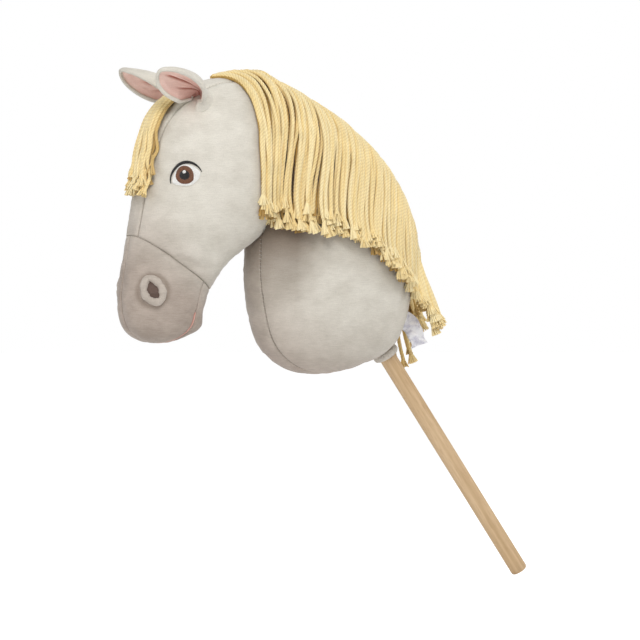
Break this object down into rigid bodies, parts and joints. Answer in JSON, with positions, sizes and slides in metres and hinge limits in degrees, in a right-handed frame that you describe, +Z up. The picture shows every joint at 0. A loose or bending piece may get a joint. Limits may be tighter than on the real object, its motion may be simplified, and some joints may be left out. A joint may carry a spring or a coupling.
{
  "type": "hobby horse",
  "caption": "Stuffed plush horse head and neck with a yarn mane and soft hinged ears, mounted on a round wooden riding stick.",
  "frame": {"origin": "centre of the stick's foot end face", "axes": "+Z is up as the toy is ridden, with the stick leaning forward from its foot; the horse faces -X and its own left side is -Y"},
  "size_m": [0.5207, 0.148, 0.6047],
  "materials": {
    "plush": "pale warm grey short-pile velour plush, matt with a soft sheen",
    "muzzle_plush": "the same plush airbrushed taupe towards the nose",
    "rose_plush": "dusty rose velour",
    "yarn": "straw yellow twisted cotton yarn",
    "tape": "woven cotton tape under the yarn",
    "thread_white": "white satin-stitch embroidery",
    "thread_brown": "dark brown satin-stitch embroidery",
    "thread_black": "black satin-stitch embroidery",
    "wood": "bare sanded hardwood dowel, fine grain",
    "sleeve_cloth": "plain woven cotton, hidden inside",
    "filling": "polyester fibre filling",
    "label_satin": "white woven satin ribbon, bare",
    "steel": "plain steel tack",
    "felt": "grey felt pad"
  },
  "bodies": {
    "stick_and_head": {"chin_panel": "muzzle_plush", "eye_glint_left": "thread_white", "eye_glint_right": "thread_white", "eye_iris_left": "thread_brown", "eye_iris_right": "thread_brown", "eye_lid_left": "thread_black", "eye_lid_right": "thread_black", "eye_pupil_left": "thread_black", "eye_pupil_right": "thread_black", "eye_white_left": "thread_white", "eye_white_right": "thread_white", "forehead_gusset": "plush", "head_filling": "filling", "head_side_left": "plush", "head_side_right": "plush", "jaw_gusset": "plush", "mane_left_1": "yarn", "mane_left_2": "yarn", "mane_left_3": "yarn", "mane_left_4": "yarn", "mane_left_5": "yarn", "mane_left_6": "yarn", "mane_right_1": "yarn", "mane_right_2": "yarn", "mane_right_3": "yarn", "mane_right_4": "yarn", "mane_right_5": "yarn", "mane_right_6": "yarn", "mane_tape": "tape", "mouth_lining": "rose_plush", "neck_filling": "filling", "neck_gusset": "plush", "neck_hem": "plush", "neck_side_left": "plush", "neck_side_right": "plush", "nose_panel_left": "muzzle_plush", "nose_panel_right": "muzzle_plush", "nostril_lining_left": "muzzle_plush", "nostril_lining_right": "muzzle_plush", "nostril_rim_left": "muzzle_plush", "nostril_rim_right": "muzzle_plush", "sleeve_tack_1": "steel", "sleeve_tack_2": "steel", "stick": "wood", "stick_end_pad": "felt", "stick_sleeve": "sleeve_cloth"},
    "left_ear": {"ear_cover_left": "plush", "ear_lining_left": "rose_plush", "ear_root_left": "plush"},
    "right_ear": {"ear_cover_right": "plush", "ear_lining_right": "rose_plush", "ear_root_right": "plush"},
    "forelock_fall": {"forelock": "yarn"},
    "label_flap": {"care_label": "label_satin"}
  },
  "joints": [
    {"name": "left_ear_flop", "type": "hinge", "parent": "stick_and_head", "child": "left_ear", "pos_m": [-0.42299, -0.03479, 0.5684], "axis": [0.1873, -0.9445, -0.2699], "range_deg": [-35, 12], "stiffness_Nm_per_rad": 0.1},
    {"name": "right_ear_flop", "type": "hinge", "parent": "stick_and_head", "child": "right_ear", "pos_m": [-0.42299, 0.03479, 0.5684], "axis": [-0.1873, -0.9445, 0.2699], "range_deg": [-35, 12], "stiffness_Nm_per_rad": 0.1},
    {"name": "forelock_lift", "type": "hinge", "parent": "stick_and_head", "child": "forelock_fall", "pos_m": [-0.42553, 0, 0.57162], "axis": [0, 1, 0], "range_deg": [0, 60]},
    {"name": "label_flap_turn", "type": "hinge", "parent": "stick_and_head", "child": "label_flap", "pos_m": [-0.15039, 0, 0.29704], "axis": [0.4392, 0, 0.8984], "range_deg": [-30, 30], "stiffness_Nm_per_rad": 0.01}
  ]
}
